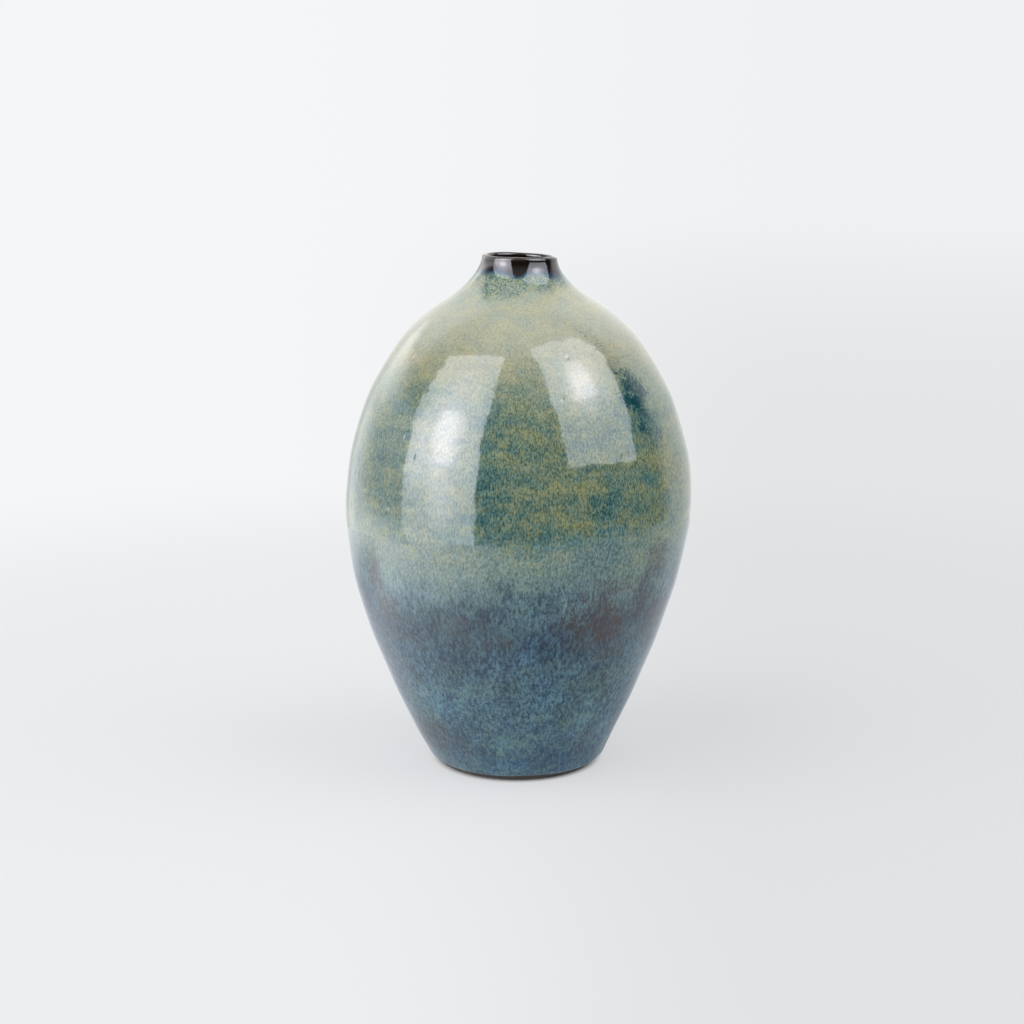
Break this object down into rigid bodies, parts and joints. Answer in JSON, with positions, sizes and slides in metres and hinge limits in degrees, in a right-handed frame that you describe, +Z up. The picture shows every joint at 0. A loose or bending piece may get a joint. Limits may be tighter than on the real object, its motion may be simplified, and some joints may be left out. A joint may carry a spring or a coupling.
{
  "type": "ceramic bud vase",
  "caption": "Wheel-thrown stoneware bud vase, an egg-shaped belly on a small trimmed foot with a short flared neck, under blue, rutile green and dark rim glazes.",
  "frame": {"origin": "middle of the foot ring, on the surface that the vase stands on", "axes": "+Z up along the axis the pot was thrown on, from the foot to the lip; +Y away from the viewer in the pictured view, +X to the viewer's right"},
  "size_m": [0.135, 0.135, 0.2],
  "materials": {
    "bare_stoneware": "fired brown stoneware, matt and slightly toothy, at the foot ring and under the pot",
    "blue_glaze": "glossy slate-blue glaze streaked with grey-green, with brown patches where it is thin",
    "rutile_glaze": "glossy rutile glaze, tan and olive flecks over deep teal, in soft throwing bands, thinning to slate blue towards its lower edge",
    "iron_glaze": "glossy iron-dark brown-black glaze over the lip, turning blue and teal below",
    "liner_glaze": "glossy dark grey-green glaze poured round the inside"
  },
  "bodies": {
    "root": {"stoneware_body": "bare_stoneware", "lower_blue_glaze": "blue_glaze", "upper_rutile_glaze": "rutile_glaze", "dark_rim_glaze": "iron_glaze", "inside_liner_glaze": "liner_glaze"}
  },
  "joints": []
}
